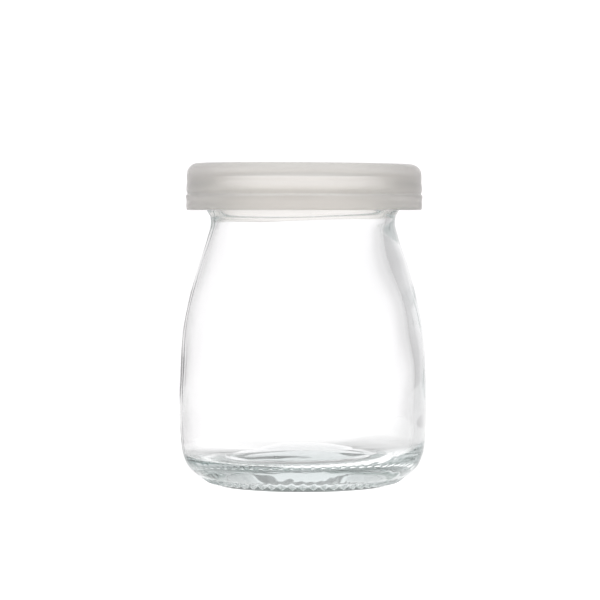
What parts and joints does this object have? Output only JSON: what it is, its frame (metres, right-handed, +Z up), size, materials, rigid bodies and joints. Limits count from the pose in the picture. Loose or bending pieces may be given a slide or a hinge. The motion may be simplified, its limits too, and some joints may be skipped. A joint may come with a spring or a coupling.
{
  "type": "glass pudding jar",
  "caption": "Small clear glass pudding jar with soft shoulders, a flared neck, a thick knurled base and a push-on lid of frosted plastic.",
  "frame": {"origin": "middle of the foot, on the plane that the jar stands on", "axes": "+Z up, along the axis that both the jar and the lid are turned round; X and Y are alike"},
  "size_m": [0.064, 0.064, 0.0827],
  "materials": {
    "clear_glass": "clear soda-lime glass, moulded and fire polished, faintly green where it is thick",
    "frosted_plastic": "soft moulded low-density polyethylene, milky and translucent, with a satin surface"
  },
  "bodies": {
    "root": {"jar": "clear_glass", "lid": "frosted_plastic"}
  },
  "joints": []
}
